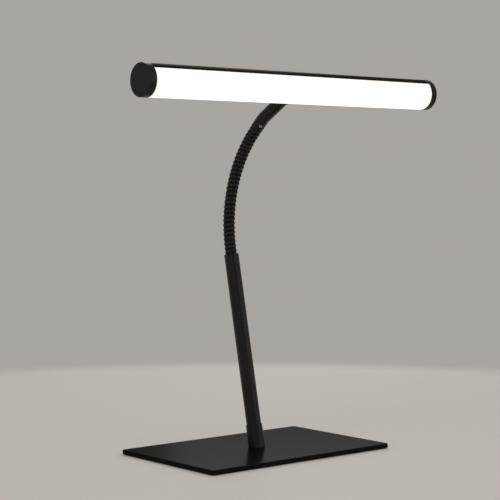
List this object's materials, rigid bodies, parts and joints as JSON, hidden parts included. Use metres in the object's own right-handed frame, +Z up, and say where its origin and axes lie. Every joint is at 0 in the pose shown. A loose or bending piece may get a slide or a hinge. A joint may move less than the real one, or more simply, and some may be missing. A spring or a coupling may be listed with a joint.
{
  "type": "piano lamp",
  "caption": "Piano lamp with a flat rectangular steel base, a leaning stem, a ribbed gooseneck and a long tubular head with an opal diffuser that shines down and forward.",
  "frame": {"origin": "centre of the base's underside, on the surface the lamp stands on", "axes": "+Z up, X along the lamp head, -Y to the front, the side that is lit"},
  "size_m": [0.2966, 0.117, 0.3044],
  "materials": {
    "black_steel": "semi-gloss black powder coat",
    "black_gooseneck": "satin black coated coil",
    "black_aluminium": "satin black anodised extrusion",
    "black_plastic": "smooth black moulding",
    "opal_diffuser": "opal white, lit from inside",
    "black_rubber": "matt black",
    "foam_pad": "matt black non-slip sheet",
    "bright_steel": "plain machined",
    "plug_steel": "plain turned",
    "white_board": "white solder mask on metal core",
    "led_package": "phosphor yellow",
    "green_board": "green solder mask",
    "pin_brass": "bright",
    "switch_plastic": "matt black"
  },
  "bodies": {
    "base": {"base_plate": "black_steel", "base_pad": "foam_pad", "base_screw": "bright_steel", "stem_tube": "black_steel", "stem_collar": "black_steel", "stem_plug": "plug_steel", "cord_grommet": "black_rubber", "gooseneck_root": "black_gooseneck", "supply_lead": "black_rubber"},
    "segment_01": {"gooseneck_segment_01": "black_gooseneck"},
    "segment_02": {"gooseneck_segment_02": "black_gooseneck"},
    "segment_03": {"gooseneck_segment_03": "black_gooseneck"},
    "segment_04": {"gooseneck_segment_04": "black_gooseneck"},
    "segment_05": {"gooseneck_segment_05": "black_gooseneck"},
    "segment_06": {"gooseneck_segment_06": "black_gooseneck"},
    "segment_07": {"gooseneck_segment_07": "black_gooseneck"},
    "head": {"gooseneck_end": "black_gooseneck", "neck_tube": "black_steel", "neck_set_screw": "bright_steel", "neck_saddle": "black_plastic", "neck_nut": "bright_steel", "head_housing": "black_aluminium", "diffuser": "opal_diffuser", "end_cap_left": "black_plastic", "end_cap_right": "black_plastic", "led_board": "white_board", "leds": "led_package", "driver_board": "green_board", "board_pins": "pin_brass", "switch_body": "switch_plastic"},
    "button": {"switch_button": "black_plastic", "switch_plunger": "switch_plastic"}
  },
  "joints": [
    {"name": "gooseneck_lower_bend", "type": "hinge", "parent": "base", "child": "segment_01", "pos_m": [0, 0.03326, 0.16262], "axis": [1, 0, 0], "range_deg": [-11, 11], "deforming": ["supply_lead"]},
    {"name": "gooseneck_side_bend", "type": "hinge", "parent": "segment_01", "child": "segment_02", "pos_m": [0, 0.03527, 0.17756], "axis": [0, 0.9981, -0.0608], "range_deg": [-10, 10]},
    {"name": "gooseneck_bend_03", "type": "hinge", "parent": "segment_02", "child": "segment_03", "pos_m": [0, 0.03509, 0.19264], "axis": [1, 0, 0], "range_deg": [-11, 11]},
    {"name": "gooseneck_side_04", "type": "hinge", "parent": "segment_03", "child": "segment_04", "pos_m": [0, 0.03272, 0.20753], "axis": [0, 0.9734, 0.229], "range_deg": [-10, 10]},
    {"name": "gooseneck_upper_bend", "type": "hinge", "parent": "segment_04", "child": "segment_05", "pos_m": [0, 0.0282, 0.22192], "axis": [1, 0, 0], "range_deg": [-11, 11]},
    {"name": "gooseneck_side_06", "type": "hinge", "parent": "segment_05", "child": "segment_06", "pos_m": [0, 0.02164, 0.2355], "axis": [0, 0.8663, 0.4995], "range_deg": [-10, 10]},
    {"name": "gooseneck_bend_07", "type": "hinge", "parent": "segment_06", "child": "segment_07", "pos_m": [0, 0.01318, 0.24798], "axis": [1, 0, 0], "range_deg": [-11, 11]},
    {"name": "gooseneck_side_08", "type": "hinge", "parent": "segment_07", "child": "head", "pos_m": [0, 0.00298, 0.2591], "axis": [0, 0.6859, 0.7277], "range_deg": [-10, 10]},
    {"name": "switch_press", "type": "slide", "parent": "head", "child": "button", "axis": [0, -0.8616, -0.5075], "range_m": [0, 0.0005], "stiffness_N_per_m": 400, "springref_m": -0.0005}
  ],
  "couplings": [
    {"joint": "gooseneck_bend_03", "follows": "gooseneck_lower_bend", "ratio": 1},
    {"joint": "gooseneck_bend_07", "follows": "gooseneck_upper_bend", "ratio": 1},
    {"joint": "gooseneck_side_04", "follows": "gooseneck_side_bend", "ratio": 1},
    {"joint": "gooseneck_side_06", "follows": "gooseneck_side_bend", "ratio": 1},
    {"joint": "gooseneck_side_08", "follows": "gooseneck_side_bend", "ratio": 1}
  ]
}
